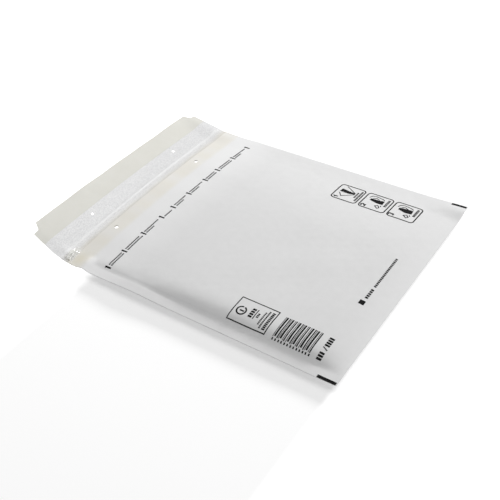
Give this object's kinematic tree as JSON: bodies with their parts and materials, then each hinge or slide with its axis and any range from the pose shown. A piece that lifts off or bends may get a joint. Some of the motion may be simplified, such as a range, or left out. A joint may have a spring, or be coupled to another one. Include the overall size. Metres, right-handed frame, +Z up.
{
  "type": "padded envelope",
  "caption": "White paper padded envelope lined with bubble film, open flap with release strip, lying flat.",
  "frame": {"origin": "on the surface that the envelope lies on, under the middle of its whole box with the flap open", "axes": "+X across the width, +Y from the bottom fold towards the flap, +Z up from the table through the front panel"},
  "size_m": [0.24, 0.3144, 0.0256],
  "materials": {
    "white_paper": "matte bleached kraft, faintly mottled by the bubbles behind it",
    "black_ink": "matte black print on the paper",
    "bubble_film": "clear soft polyethylene film",
    "cream_glue": "thin cream glue line seen through the paper",
    "clear_adhesive": "pale tacky adhesive",
    "release_paper": "smooth coated beige paper with a soft sheen"
  },
  "bodies": {
    "root": {"paper_sheet": "white_paper", "bubble_liner": "bubble_film", "mouth_glue": "cream_glue", "seal_adhesive": "clear_adhesive", "release_strip": "release_paper"}
  },
  "joints": []
}
